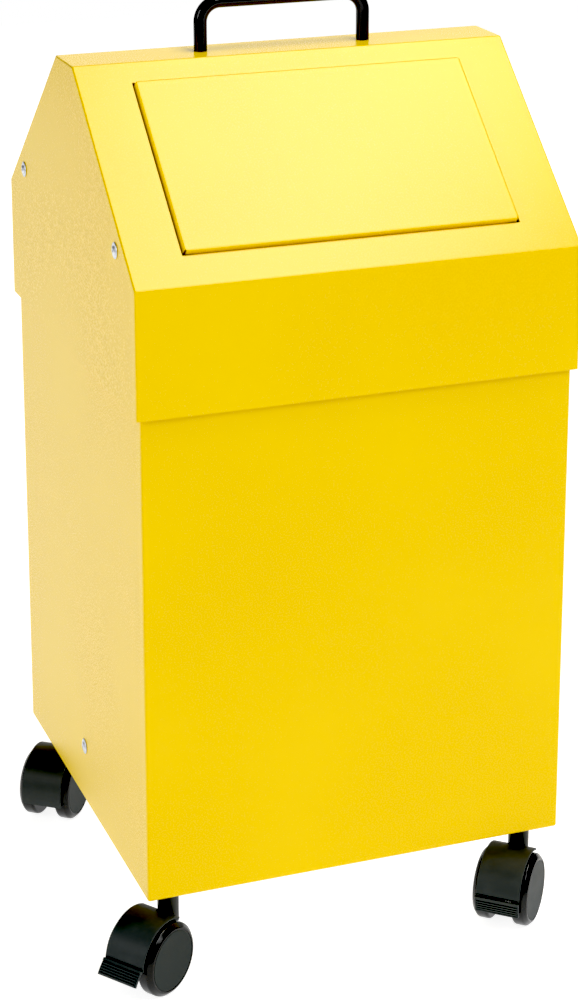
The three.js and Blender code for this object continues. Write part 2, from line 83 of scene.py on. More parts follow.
class Graph:
    def __init__(self, tree):
        self.tree = tree
        tree.nodes.clear()

    def add(self, kind, settings=None, sockets=None, out=0):
        node = self.tree.nodes.new(kind)
        for key, value in (settings or {}).items():
            setattr(node, key, value)
        for key, value in (sockets or {}).items():
            if isinstance(value, Signal):
                self.tree.links.new(value.socket, node.inputs[key])
            else:
                node.inputs[key].default_value = value
        return Signal(self, node.outputs[out]) if node.outputs else node

    def mixColours(self, factor, first, second):
        return self.add("ShaderNodeMix", {"data_type": "RGBA"}, {0: factor, 6: first, 7: second}, out=2)

    def noise(self, place, size, detail=2.0, roughness=0.5):  # size of the cells in metres
        sockets = {"Vector": place, "Scale": 1 / size, "Detail": detail, "Roughness": roughness}
        return self.add("ShaderNodeTexNoise", {}, sockets)

    def between(self, value, low, high):  # 0 at low, 1 at high
        return self.add("ShaderNodeMapRange", {"clamp": True}, {0: value, 1: low, 2: high, 3: 0.0, 4: 1.0})

    def bump(self, strength, depth, height):  # depth in metres
        return self.add("ShaderNodeBump", {}, {"Strength": strength, "Distance": depth, "Height": height})


def newFinish(name):
    material = bpy.data.materials.new(name)
    material.use_nodes = True
    graph = Graph(material.node_tree)
    place = graph.add("ShaderNodeTexCoord", out="Object")
    return material, graph, place


def closeFinish(graph, sockets):
    shader = graph.add("ShaderNodeBsdfPrincipled", {}, sockets)
    graph.add("ShaderNodeOutputMaterial", {}, {"Surface": shader})


def rgb(red, green, blue):
    return (red, green, blue, 1.0)


# the finishes read object coordinates, so they stay put when a body moves
paintLook = {
    "colour": rgb(0.93, 0.645, 0.0), "deeper": rgb(0.90, 0.61, 0.0),
    "driftSize": 0.16, "peelSize": 0.0011, "peelDepth": 0.000007, "grainSize": 0.0005,
    "grainShare": 0.25, "toneLow": 0.36, "toneHigh": 0.64, "bump": 0.4,
    "roughness": 0.27, "peelSheen": 0.03, "driftSheen": 0.02, "specular": 0.42,
}


def makePaint():
    look = paintLook
    material, graph, place = newFinish("yellowPaint")
    drift = graph.noise(place, look["driftSize"], 1.0)
    peel = graph.noise(place, look["peelSize"], 1.0)
    grain = graph.noise(place, look["grainSize"], 2.0)
    cloud = drift * (1 - look["grainShare"]) + grain * look["grainShare"]
    tone = graph.between(cloud, look["toneLow"], look["toneHigh"])
    sheen = (peel - 0.5) * look["peelSheen"] + (drift - 0.5) * look["driftSheen"]
    closeFinish(graph, {
        "Base Color": graph.mixColours(tone, look["colour"], look["deeper"]),
        "Roughness": look["roughness"] + sheen,
        "Specular IOR Level": look["specular"],
        "Normal": graph.bump(look["bump"], look["peelDepth"], peel),
    })
    return material


enamelLook = {
    "colour": rgb(0.006, 0.006, 0.007), "dusty": rgb(0.02, 0.02, 0.02),
    "dustSize": 0.0007, "dustLow": 0.62, "dustHigh": 0.75, "dustShare": 0.3,
    "runSize": 0.006, "runDepth": 0.00003, "bump": 0.5,
    "roughness": 0.09, "runSheen": 0.05, "dustSheen": 0.1,
}


def makeEnamel():
    look = enamelLook
    material, graph, place = newFinish("blackEnamel")
    runs = graph.noise(place, look["runSize"], 1.0)
    dust = graph.between(graph.noise(place, look["dustSize"], 2.0), look["dustLow"], look["dustHigh"])
    closeFinish(graph, {
        "Base Color": graph.mixColours(dust * look["dustShare"], look["colour"], look["dusty"]),
        "Roughness": look["roughness"] + runs * look["runSheen"] + dust * look["dustSheen"],
        "Normal": graph.bump(look["bump"], look["runDepth"], runs),
    })
    return material


# black nylon comes in three surfaces: grained, polished on the rims, and the greyer discs
nylonLooks = {
    "nylonGrained": {"colour": rgb(0.044, 0.051, 0.051), "worn": rgb(0.051, 0.059, 0.059),
                     "roughness": 0.42, "grain": 0.0006, "depth": 0.00004, "specular": 0.36},
    "nylonPolished": {"colour": rgb(0.011, 0.012, 0.012), "worn": rgb(0.017, 0.019, 0.019),
                      "roughness": 0.21, "grain": 0.003, "depth": 0.00001, "specular": 0.42},
    "nylonDisc": {"colour": rgb(0.023, 0.030, 0.029), "worn": rgb(0.028, 0.036, 0.035),
                  "roughness": 0.48, "grain": 0.0005, "depth": 0.00004, "specular": 0.30},
}
nylonWear = {"size": 0.012, "low": 0.42, "high": 0.72, "sheen": 0.05, "grainSheen": 0.1, "bump": 0.6}


def makeNylon(name):
    look = nylonLooks[name]
    material, graph, place = newFinish(name)
    grain = graph.noise(place, look["grain"], 3.0, 0.6)
    rub = graph.between(graph.noise(place, nylonWear["size"], 3.0), nylonWear["low"], nylonWear["high"])
    closeFinish(graph, {
        "Base Color": graph.mixColours(rub, look["colour"], look["worn"]),
        "Roughness": look["roughness"] + (grain - 0.5) * nylonWear["grainSheen"] + rub * nylonWear["sheen"],
        "Specular IOR Level": look["specular"],
        "Normal": graph.bump(nylonWear["bump"], look["depth"], grain),
    })
    return material


zincLook = {
    "light": rgb(0.66, 0.68, 0.69), "dark": rgb(0.42, 0.44, 0.45), "spangle": 0.011,
    "warpSize": 0.006, "warpReach": 0.004, "fineSize": 0.0008, "fineShare": 0.4,
    "bump": 0.3, "depth": 0.00003, "metallic": 0.92, "roughness": 0.34,
    "spangleSheen": 0.14, "fineSheen": 0.1,
}


def makeZinc():
    look = zincLook
    material, graph, place = newFinish("zincSheet")
    warp = graph.noise(place, look["warpSize"], 2.0)
    spread = graph.add("ShaderNodeVectorMath", {"operation": "SCALE"}, {0: warp, 3: look["warpReach"]})
    bent = graph.add("ShaderNodeVectorMath", {"operation": "ADD"}, {0: place, 1: spread})
    flake = graph.add("ShaderNodeTexVoronoi", {"feature": "F1"},
                      {"Vector": bent, "Scale": 1 / look["spangle"]}, out="Color")
    shade = graph.add("ShaderNodeSeparateColor", {}, {"Color": flake}, out="Red")
    fine = graph.noise(place, look["fineSize"], 3.0)
    closeFinish(graph, {
        "Base Color": graph.mixColours(shade, look["dark"], look["light"]),
        "Metallic": look["metallic"],
        "Roughness": look["roughness"] + shade * look["spangleSheen"] + fine * look["fineSheen"],
        "Normal": graph.bump(look["bump"], look["depth"], shade + fine * look["fineShare"]),
    })
    return material


steelLook = {
    "colour": rgb(0.70, 0.74, 0.80), "tint": rgb(0.60, 0.62, 0.66),
    "cloudSize": 0.004, "cloudLow": 0.35, "cloudHigh": 0.7, "fineSize": 0.0004,
    "bump": 0.35, "depth": 0.00002, "metallic": 0.9, "roughness": 0.24, "cloudSheen": 0.16,
}


def makeSteel():
    look = steelLook
    material, graph, place = newFinish("brightSteel")
    cloud = graph.noise(place, look["cloudSize"], 3.0)
    fine = graph.noise(place, look["fineSize"], 2.0)
    tinted = graph.between(cloud, look["cloudLow"], look["cloudHigh"])
    closeFinish(graph, {
        "Base Color": graph.mixColours(tinted, look["colour"], look["tint"]),
        "Metallic": look["metallic"],
        "Roughness": look["roughness"] + cloud * look["cloudSheen"],
        "Normal": graph.bump(look["bump"], look["depth"], fine),
    })
    return material


finishes = {"yellow_paint": makePaint(), "black_enamel": makeEnamel(), "zinc_sheet": makeZinc(),
            "bright_steel": makeSteel(), "black_nylon": makeNylon("nylonGrained")}
polishedNylon = makeNylon("nylonPolished")
discNylon = makeNylon("nylonDisc")
print("finishes made")


# meshes
meshValues = {"merge": 1e-6, "sharpAngle": 32.0, "barSharpAngle": 40.0, "bevelAngle": 50.0, "bevelSteps": 2}


def joinRings(bm, rings, loop=False, caps=False, material=0):  # rings of equally many points become a skin
    made = [[bm.verts.new(point) for point in ring] for ring in rings]
    pairs = list(zip(made, made[1:])) + ([(made[-1], made[0])] if loop else [])
    for near, far in pairs:
        for i in range(len(near)):
            j = (i + 1) % len(near)
            face = bm.faces.new((near[i], near[j], far[j], far[i]))
            face.material_index = material
    if caps:
        for ring in (made[0], made[-1]):
            bm.faces.new(ring).material_index = material


def newPiece(name, build, materials, place=None):
    bm = bmesh.new()
    build(bm)
    bmesh.ops.remove_doubles(bm, verts=bm.verts, dist=meshValues["merge"])
    bmesh.ops.recalc_face_normals(bm, faces=bm.faces)
    if place is not None:
        bmesh.ops.transform(bm, matrix=place, verts=bm.verts)
    mesh = bpy.data.meshes.new(name)
    bm.to_mesh(mesh)
    bm.free()
    for material in materials:
        mesh.materials.append(material)
    piece = bpy.data.objects.new(name, mesh)
    bpy.context.scene.collection.objects.link(piece)
    return piece


def settle(piece):  # what the modifiers make becomes a plain mesh
    graph = bpy.context.evaluated_depsgraph_get()
    graph.update()
    mesh = bpy.data.meshes.new_from_object(piece.evaluated_get(graph), preserve_all_data_layers=True,
                                           depsgraph=graph)
    name = piece.name
    bpy.data.objects.remove(piece)
    mesh.name = name
    settled = bpy.data.objects.new(name, mesh)
    bpy.context.scene.collection.objects.link(settled)
    return settled


def soften(piece):  # round shapes shade smoothly, flat ones stay flat
    piece.data.shade_smooth()
    piece.data.set_sharp_from_angle(angle=math.radians(meshValues["sharpAngle"]))
    weighted = piece.modifiers.new("flatPanels", "WEIGHTED_NORMAL")
    weighted.keep_sharp = True
    return settle(piece)


def finishPiece(piece, body, slot, *nodes):
    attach(piece, body)
    if nodes:
        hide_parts(*nodes)
        replacedNodes.update(nodes)


def roundedRing(halfX, halfY, radius, z, steps):
    ring = []
    for i, (sx, sy) in enumerate([(1, 1), (-1, 1), (-1, -1), (1, -1)]):
        for k in range(steps + 1):
            turn = math.radians(90 * (i + k / steps))
            ring.append(Vector((sx * (halfX - radius) + radius * math.cos(turn),
                                sy * (halfY - radius) + radius * math.sin(turn), z)) * mm)
    return ring


def arc(centre, radius, start, end, steps):  # points of an arc in a plane, angles in degrees
    turns = [math.radians(start + (end - start) * k / steps) for k in range(steps + 1)]
    return [(centre[0] + radius * math.cos(t), centre[1] + radius * math.sin(t)) for t in turns]


def filleted(points, radius, steps=6):  # corners of a polyline rounded off
    made = [points[0]]
    for before, corner, after in zip(points, points[1:], points[2:]):
        into = (Vector(corner) - Vector(before)).normalized()
        out = (Vector(after) - Vector(corner)).normalized()
        half = into.angle(out) / 2
        reach = radius * math.tan(half)
        start = Vector(corner) - into * reach
        bisector = (out - into).normalized()
        centre = Vector(corner) + bisector * (radius / math.cos(half))
        arm = start - centre
        side = 1 if into.x * out.y - into.y * out.x > 0 else -1
        for k in range(steps + 1):
            made.append(tuple(centre + Matrix.Rotation(side * 2 * half * k / steps, 2) @ arm))
    return made + [points[-1]]


def filletedPath(points, radius, steps=8):  # the same as filleted, in space
    made = [points[0]]
    for before, corner, after in zip(points, points[1:], points[2:]):
        into, out = (corner - before).normalized(), (after - corner).normalized()
        half = into.angle(out) / 2
        centre = corner + (out - into).normalized() * (radius / math.cos(half))
        arm = corner - into * radius * math.tan(half) - centre
        axis = into.cross(out).normalized()
        made += [centre + Matrix.Rotation(2 * half * k / steps, 3, axis) @ arm for k in range(steps + 1)]
    return made + [points[-1]]


def lathe(bm, profile, sides):  # profile is (radius, height) in millimetres
    turns = [2 * math.pi * k / sides for k in range(sides)]
    joinRings(bm, [[Vector((radius * math.cos(turn), radius * math.sin(turn), height)) * mm for turn in turns]
                   for radius, height in profile], caps=True)


def sheetPiece(piece, sheet, edgeRound):  # a skin seen from above gets its sheet's thickness below
    lift = sum(face.normal.z * face.area for face in piece.data.polygons)
    if lift < 0:
        piece.data.flip_normals()
    wall = piece.modifiers.new("wall", "SOLIDIFY")
    wall.thickness = sheet * mm
    wall.offset = -1
    wall.use_even_offset = True
    edge = piece.modifiers.new("edge", "BEVEL")
    edge.width = edgeRound * mm
    edge.segments = meshValues["bevelSteps"]
    edge.limit_method = "ANGLE"
    edge.angle_limit = math.radians(meshValues["bevelAngle"])
    return soften(settle(piece))


def joined(name, pieces):  # several meshes made one
    bm = bmesh.new()
    for piece in pieces:
        bm.from_mesh(piece.data)
    mesh = bpy.data.meshes.new(name)
    bm.to_mesh(mesh)
    bm.free()
    for material in pieces[0].data.materials:
        mesh.materials.append(material)
    for piece in pieces:
        bpy.data.objects.remove(piece)
    whole = bpy.data.objects.new(name, mesh)
    bpy.context.scene.collection.objects.link(whole)
    return whole


# what follows a path or repeats comes from these trees
def newTree(name, inputs):
    tree = bpy.data.node_groups.new(name, "GeometryNodeTree")
    tree.interface.new_socket("Geometry", in_out="INPUT", socket_type="NodeSocketGeometry")
    for label, kind in inputs.items():
        tree.interface.new_socket(label, in_out="INPUT", socket_type=kind)
    tree.interface.new_socket("Geometry", in_out="OUTPUT", socket_type="NodeSocketGeometry")
    graph = Graph(tree)
    given = tree.nodes.new("NodeGroupInput")
    return tree, graph, {socket.name: Signal(graph, socket) for socket in given.outputs if socket.name}


def endTree(graph, geometry, material):
    smooth = graph.add("GeometryNodeSetShadeSmooth", {}, {"Geometry": geometry})
    whole = graph.add("GeometryNodeRealizeInstances", {}, {"Geometry": smooth})
    painted = graph.add("GeometryNodeSetMaterial", {}, {"Geometry": whole, "Material": material})
    graph.add("NodeGroupOutput", {}, {"Geometry": painted})


def makeBarTree():  # a round bar along the given curve
    tree, graph, given = newTree("roundBar", {
        "Bar radius": "NodeSocketFloat", "Sides": "NodeSocketInt", "Material": "NodeSocketMaterial"})
    section = graph.add("GeometryNodeCurvePrimitiveCircle", {}, {
        "Resolution": given["Sides"], "Radius": given["Bar radius"]})
    bar = graph.add("GeometryNodeCurveToMesh", {}, {
        "Curve": given["Geometry"], "Profile Curve": section, "Fill Caps": True})
    endTree(graph, bar, given["Material"])
    return tree


def makeCopiesTree():  # the copied object on every point, its Z outwards and its X along
    tree, graph, given = newTree("placedCopies", {
        "Copied": "NodeSocketObject", "Size": "NodeSocketFloat", "Material": "NodeSocketMaterial"})
    vectors = {
        name: graph.add("GeometryNodeInputNamedAttribute", {"data_type": "FLOAT_VECTOR"}, {"Name": name})
        for name in ("outward", "along")}
    upright = graph.add("FunctionNodeAlignRotationToVector", {"axis": "Z"}, {"Vector": vectors["outward"]})
    turned = graph.add("FunctionNodeAlignRotationToVector", {"axis": "X", "pivot_axis": "Z"},
                       {"Rotation": upright, "Vector": vectors["along"]})
    copied = graph.add("GeometryNodeObjectInfo", {}, {"Object": given["Copied"]}, out="Geometry")
    copies = graph.add("GeometryNodeInstanceOnPoints", {}, {
        "Points": given["Geometry"], "Instance": copied, "Rotation": turned, "Scale": given["Size"]})
    endTree(graph, copies, given["Material"])
    return tree


barTree = makeBarTree()
copiesTree = makeCopiesTree()


def runTree(piece, tree, values):
    modifier = piece.modifiers.new(tree.name, "NODES")
    modifier.node_group = tree
    for item in tree.interface.items_tree:
        if item.in_out == "INPUT" and item.name in values:
            modifier[item.identifier] = values[item.name]
    return settle(piece)


def roundBars(name, paths, radius, sides, material):
    curve = bpy.data.curves.new(name, "CURVE")
    curve.dimensions = "3D"
    for path in paths:
        spline = curve.splines.new("POLY")
        spline.points.add(len(path) - 1)
        for point, place in zip(spline.points, path):
            point.co = (*place, 1.0)
    piece = bpy.data.objects.new(name, curve)
    bpy.context.scene.collection.objects.link(piece)
    bars = runTree(piece, barTree, {"Bar radius": radius * mm, "Sides": sides, "Material": material})
    bars.data.set_sharp_from_angle(angle=math.radians(meshValues["barSharpAngle"]))
    return bars


def placedCopies(name, copied, places, material):  # places are (point, outward, along)
    mesh = bpy.data.meshes.new(name)
    mesh.from_pydata([point for point, _, _ in places], [], [])
    for k, label in ((1, "outward"), (2, "along")):
        layer = mesh.attributes.new(label, "FLOAT_VECTOR", "POINT")
        for item, place in zip(layer.data, places):
            item.vector = place[k]
    piece = bpy.data.objects.new(name, mesh)
    bpy.context.scene.collection.objects.link(piece)
    made = runTree(piece, copiesTree, {"Copied": copied, "Size": 1.0, "Material": material})
    bpy.data.objects.remove(copied)
    made.data.set_sharp_from_angle(angle=math.radians(meshValues["barSharpAngle"]))
    return made


# body: four folded walls with a turned-in edge above and below
bodyValues = {"sheet": 1.0, "bend": 2.0, "cornerBend": 2.0, "leastBend": 0.1, "bottomFlange": 17.0,
              "topHem": 9.0, "steps": 6}


def foldedSection(low, high):  # (inset, height) once round the sheet, outside first
    sheet, bend, steps = bodyValues["sheet"], bodyValues["bend"], bodyValues["steps"]
    flange, hem, inner = bodyValues["bottomFlange"], bodyValues["topHem"], bend - sheet
    outside = [(flange, low), *arc((bend, low + bend), bend, 270, 180, steps),
               *arc((bend, high - bend), bend, 180, 90, steps), (hem, high)]
    inside = [(hem, high - sheet), *arc((bend, high - bend), inner, 90, 180, steps),
              *arc((bend, low + bend), inner, 180, 270, steps), (flange, low + sheet)]
    return outside + inside


def buildBody(bm):
    low, high = (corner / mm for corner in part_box("body_shell"))
    rings = []
    for inset, z in foldedSection(low.z, high.z):
        bend = max(bodyValues["cornerBend"] - inset, bodyValues["leastBend"])
        rings.append(roundedRing(high.x - inset, high.y - inset, bend, z, bodyValues["steps"]))
    joinRings(bm, rings, loop=True)


body = soften(newPiece("bodyPanels", buildBody, [finishes["yellow_paint"]]))
finishPiece(body, "body", "yellow_paint", "body_shell")
print("body made")


# hood: one welded skin with the flap's window in its front slope
hoodValues = {"sheet": 1.0, "bend": 2.2, "leastBend": 0.3, "gableRound": 1.3, "eaveAboveBody": 5.5,
              "ridgeDepth": 44.0, "windowGap": 0.8, "edgeRound": 0.42, "steps": 6}
flapValues = {
    "sideMargin": 42.0, "topMargin": 19.5, "bottomMargin": 26.7, "pivotBelowTop": 8.0, "pivotDepth": 8.0,
    "proud": 3.5, "bend": 1.4, "notch": 1.7, "bendSteps": 4, "sideFlange": 10.5, "topFlange": 5.5,
    "stopLip": 7.0, "stopLipInset": 8.0, "sheet": 1.0, "gap": 0.3, "edgeRound": 0.2,
    "earRadius": 7.0, "earHole": 3.3, "earThick": 1.2, "earGap": 0.05, "earTopGap": 0.2, "earSides": 32,
}
hoodLow, hoodHigh = (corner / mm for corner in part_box("hood_gable_left"))
hoodX = -hoodLow.x
hoodY = hoodHigh.y
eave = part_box("body_shell")[1].z / mm + hoodValues["eaveAboveBody"]
ridgeY = hoodValues["ridgeDepth"] / 2
roofRise = hoodHigh.z - eave
slopeAngle = math.atan2(roofRise, hoodY - ridgeY)
slopeLength = math.hypot(roofRise, hoodY - ridgeY)
flapX = hoodX - flapValues["sideMargin"]
flapLength = slopeLength - flapValues["topMargin"] - flapValues["bottomMargin"]


def hoodProfile(inset):
    low, high = hoodLow.z, hoodHigh.z
    outer = [(-hoodY, low), (-hoodY, eave), (-ridgeY, high), (ridgeY, high), (hoodY, eave), (hoodY, low)]
    normals = [Vector((b[1] - a[1], a[0] - b[0])).normalized() for a, b in zip(outer, outer[1:])]
    moved = []
    for i, point in enumerate(outer):
        before, after = normals[max(i - 1, 0)], normals[min(i, len(normals) - 1)]
        moved.append(tuple(Vector(point) + (before + after) * inset / (1 + before.dot(after))))
    rounded = filleted(moved, max(hoodValues["bend"] - inset, hoodValues["leastBend"]), hoodValues["steps"])
    eaveEnd = hoodValues["steps"] + 1  # last point of the eave's bend
    eaveCorner, ridgeCorner = Vector(moved[1]), Vector(moved[2])
    window = [flapValues["bottomMargin"] - hoodValues["windowGap"],
              slopeLength - flapValues["topMargin"] + hoodValues["windowGap"]]
    cuts = [tuple(eaveCorner.lerp(ridgeCorner, along / slopeLength)) for along in window]
    return rounded[:eaveEnd + 1] + cuts + rounded[eaveEnd + 1:], eaveEnd + 1


def buildHood(bm):
    radius, steps = hoodValues["gableRound"], hoodValues["steps"]
    windowX = flapX + hoodValues["windowGap"]
    stations = []
    for k in range(steps + 1):
        turn = math.radians(90 * k / steps)
        stations.append((radius - hoodX - radius * math.cos(turn), radius * (1 - math.sin(turn))))
    stations += [(-windowX, 0.0), (windowX, 0.0)]
    stations += [(-x, inset) for x, inset in reversed(stations[:steps + 1])]
    grid = []
    for x, inset in stations:
        profile, windowStart = hoodProfile(inset)
        grid.append([bm.verts.new(Vector((x, y, z)) * mm) for y, z in profile])
    for i, (near, far) in enumerate(zip(grid, grid[1:])):
        for j in range(len(near) - 1):
            if i == steps + 1 and j == windowStart:
                continue
            bm.faces.new((near[j], near[j + 1], far[j + 1], far[j]))
    for side in (grid[0], grid[-1]):
        bm.faces.new(side)


hood = sheetPiece(newPiece("hoodSkin", buildHood, [finishes["yellow_paint"]]), hoodValues["sheet"],
                  hoodValues["edgeRound"])
finishPiece(hood, "hood", "yellow_paint", "hood_wrap", "hood_gable_left", "hood_gable_right")
print("hood made")

# flap: a folded tray with open corners, on two ears
hingePlace = Vector(jointByName["flap_swing"]["pos_m"])
onSlope = Matrix.Translation(hingePlace) @ Matrix.Rotation(slopeAngle, 4, "X")


def buildFlap(bm):
    v = flapValues
    bend, notch, face = v["bend"], v["notch"], v["pivotDepth"] + v["proud"]
    top, bottom = v["pivotBelowTop"], v["pivotBelowTop"] - flapLength
    lipTop = v["pivotDepth"] - v["sheet"] - v["gap"]
    xs = [bend - flapX, notch - flapX, v["stopLipInset"] - flapX, flapX - v["stopLipInset"], flapX - notch,
          flapX - bend]
    ys = [bottom + bend, bottom + notch, top - notch, top - bend]

    def quad(*points):
        bm.faces.new([bm.verts.new(Vector(point) * mm) for point in points])

    def strip(spans, path, swap=False):  # path is (across, height), carried along the spans
        for a, b in zip(spans, spans[1:]):
            for (p, h), (q, k) in zip(path, path[1:]):
                if swap:
                    quad((p, a, h), (p, b, h), (q, b, k), (q, a, k))
                else:
                    quad((a, p, h), (b, p, h), (b, q, k), (a, q, k))

    last = len(xs) - 2
    for i, (x0, x1) in enumerate(zip(xs, xs[1:])):
        for j, (y0, y1) in enumerate(zip(ys, ys[1:])):
            if not (i in (0, last) and j in (0, 2)):
                quad((x0, y0, face), (x1, y0, face), (x1, y1, face), (x0, y1, face))
    low = face - bend
    for side in (-1, 1):
        sidePath = [(side * x, h) for x, h in arc((flapX - bend, low), bend, 90, 0, v["bendSteps"])]
        strip(ys[1:3], sidePath + [(side * flapX, face - v["sideFlange"])], swap=True)
    strip(xs[1:5], arc((top - bend, low), bend, 90, 0, v["bendSteps"]) + [(top, face - v["topFlange"])])
    strip(xs[1:5], arc((bottom + bend, low), bend, 90, 180, v["bendSteps"]) + [(bottom, lipTop)])
    strip(xs[2:4], [(bottom, lipTop), (bottom - v["stopLip"], lipTop)])


def buildEars(bm):
    v = flapValues
    roof = v["pivotDepth"] + v["proud"] - v["sheet"] - v["earTopGap"]
    for side in (-1, 1):
        def ring(x, radius):
            made = []
            for k in range(v["earSides"]):
                turn = 2 * math.pi * k / v["earSides"]
                c, s = math.cos(turn), math.sin(turn)
                reach = radius
                if radius > v["earHole"] and s > 0:  # the upper half of the ear is square
                    reach = min(radius / max(abs(c), 1e-6), roof / s)
                made.append(Vector((x, reach * c, reach * s)) * mm)
            return made
        outside = flapX - v["sheet"] - v["earGap"]
        near, far = side * outside, side * (outside - v["earThick"])
        joinRings(bm, [ring(near, v["earHole"]), ring(near, v["earRadius"]), ring(far, v["earRadius"]),
                       ring(far, v["earHole"])], loop=True)


flapTray = sheetPiece(newPiece("flapTray", buildFlap, [finishes["yellow_paint"]], onSlope),
                      flapValues["sheet"], flapValues["edgeRound"])
flapEars = soften(newPiece("flapEars", buildEars, [finishes["yellow_paint"]], onSlope))
flap = soften(joined("flapPanel", [flapTray, flapEars]))
finishPiece(flap, "flap", "yellow_paint", "flap")
print("flap made")

# hinge rod and torsion springs
hingeValues = {
    "rodRadius": 3.0, "rodSides": 32, "springRadius": 5.0, "springWire": 0.6, "springSides": 10,
    "springInset": 16.0, "springPitch": 1.7, "springTurns": 2.75, "springSteps": 24, "springLeg": 28.0,
    "springLegRise": 4.2, "springLegCurve": 1.5, "springTail": 3.0,
}
rodLow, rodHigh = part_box("hinge_rod")
rodEnds = [Vector((x, hingePlace.y, hingePlace.z)) for x in (rodLow.x, rodHigh.x)]
rod = roundBars("hingeRod", [rodEnds], hingeValues["rodRadius"], hingeValues["rodSides"],
                finishes["bright_steel"])
finishPiece(rod, "hood", "bright_steel", "hinge_rod")


def springPath(side):
    v = hingeValues
    x, radius, steps = flapX - v["springInset"], v["springRadius"], v["springSteps"]
    points = [Vector((side * x, -v["springLeg"] * t, radius + v["springLegRise"] * t ** v["springLegCurve"]))
              for t in (1, 0.75, 0.5, 0.25, 0.1)]
    for i in range(round(v["springTurns"] * steps) + 1):
        angle = math.pi / 2 - i / steps * 2 * math.pi
        points.append(Vector((side * (x - i / steps * v["springPitch"]), radius * math.cos(angle),
                              radius * math.sin(angle))))
    points.append(points[-1] + (points[-1] - points[-2]).normalized() * v["springTail"])
    return [onSlope @ (point * mm) for point in points]


springs = roundBars("flapSprings", [springPath(-1), springPath(1)], hingeValues["springWire"],
                    hingeValues["springSides"], finishes["bright_steel"])
finishPiece(springs, "flap", "bright_steel", "flap_spring_left", "flap_spring_right")

# bow handle
handleValues = {"radius": 5.0, "bend": 15.0, "bendSteps": 12, "sides": 36}
handleLow, handleHigh = (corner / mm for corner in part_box("handle"))
legX = handleHigh.x - handleValues["radius"]
barTop = handleHigh.z - handleValues["radius"]
route = filleted([(-legX, handleLow.z), (-legX, barTop), (legX, barTop), (legX, handleLow.z)],
                 handleValues["bend"], handleValues["bendSteps"])
handle = roundBars("bowHandle", [[Vector((x, 0, z)) * mm for x, z in route]], handleValues["radius"],
                   handleValues["sides"], finishes["black_enamel"])
finishPiece(handle, "hood", "black_enamel", "handle")
print("handle and springs made")

# blind rivets: a domed head with the stub of its mandrel
rivetValues = {
    "flange": 6.0, "flangeEdge": 0.15, "brim": 0.5, "brimFall": 0.1, "dome": 3.5, "domeSteps": 8,
    "height": 1.7, "headDepth": 1.8, "hole": 1.1, "stub": 0.9, "shank": 2.0, "tail": 5.0, "sides": 40,
}


def buildRivet(bm):
    v = rivetValues
    foot = v["brim"] + v["brimFall"]  # where the dome starts
    dome = []
    for k in range(v["domeSteps"] + 1):
        turn = math.radians(90 * k / v["domeSteps"])
        dome.append((v["hole"] + (v["dome"] - v["hole"]) * math.cos(turn),
                     foot + (v["height"] - foot) * math.sin(turn)))
    shank = [(v["shank"], -v["tail"]), (v["shank"], 0.0)]
    brim = [(v["flange"] - 0.1, 0.0), (v["flange"], v["flangeEdge"]), (v["flange"] - 0.25, v["brim"] - 0.05),
            (v["dome"] + 0.4, foot - 0.02)]
    hole = [(v["hole"] * 0.92, v["height"] - 0.1), (v["hole"] * 0.85, v["stub"]),
            (v["hole"] * 0.75, v["stub"] + 0.25), (v["hole"] * 0.4, v["stub"] + 0.38)]
    lathe(bm, shank + brim + dome + hole, v["sides"])


def rivetPlaces(nodes):
    places = []
    for node in nodes:
        low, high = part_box(node)
        side = -1 if low.x < 0 else 1
        middle = (low + high) / 2
        seat = max(abs(low.x), abs(high.x)) - rivetValues["headDepth"] * mm
        places.append((Vector((side * seat, middle.y, middle.z)), Vector((side, 0, 0)), Vector((0, 1, 0))))
    return places


gableRivets = [f"gable_rivet_{side}_{end}" for side in ("left", "right") for end in ("front", "rear")]
for name, bodyName, nodes in (
    ("baseRivets", "body", ["base_rivet_left", "base_rivet_right"]),
    ("gableRivets", "hood", gableRivets),
):
    head = newPiece("rivetHead", buildRivet, [finishes["bright_steel"]])
    rivets = placedCopies(name, head, rivetPlaces(nodes), finishes["bright_steel"])
    finishPiece(rivets, bodyName, "bright_steel", *nodes)
print("rivets made")

# inner container with a rolled rim and two beads, and its wire bail
linerValues = {
    "sheet": 1.0, "corner": 12.0, "leastCorner": 0.4, "floorRound": 4.0, "floorInset": 12.0, "floorSteps": 5,
    "rim": 2.6, "rimInset": 0.15, "rimStart": 200.0, "rimEnd": -60.0, "rimSteps": 10,
    "beadHeights": (0.32, 0.68), "beadDepth": 1.6, "beadHalf": 5.0, "beadSteps": 8, "steps": 8,
}
bailValues = {"wire": 2.5, "bend": 6.0, "endInset": 6.0, "sides": 20}
linerLow, linerHigh = (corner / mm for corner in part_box("liner"))


def linerWall(thick):  # (inset, height) up the wall, thick inside the outer face
    v = linerValues
    wall = [(v["floorRound"] + v["floorInset"], linerLow.z + thick)]
    wall += arc((v["floorRound"], linerLow.z + v["floorRound"]), v["floorRound"] - thick, 270, 180,
                v["floorSteps"])
    span = linerHigh.z - linerLow.z
    for share in v["beadHeights"]:
        middle = linerLow.z + span * share
        for k in range(v["beadSteps"] + 1):
            across = 2 * k / v["beadSteps"] - 1  # from -1 to 1 over the bead
            drop = 0.5 + 0.5 * math.cos(math.pi * across)
            wall.append((thick + v["beadDepth"] * drop, middle + v["beadHalf"] * across))
    wall.append((thick, linerHigh.z - v["rim"]))
    return wall


def buildLiner(bm):
    v = linerValues
    rim = arc((v["rim"] / 2 + v["rimInset"], linerHigh.z - v["rim"] / 2), v["rim"] / 2, v["rimStart"],
              v["rimEnd"], v["rimSteps"])
    rings = []
    for inset, z in linerWall(0.0) + rim + linerWall(v["sheet"])[::-1]:
        corner = max(v["corner"] - inset, v["leastCorner"])
        rings.append(roundedRing(linerHigh.x - inset, linerHigh.y - inset, corner, z, v["steps"]))
    joinRings(bm, rings, caps=True)


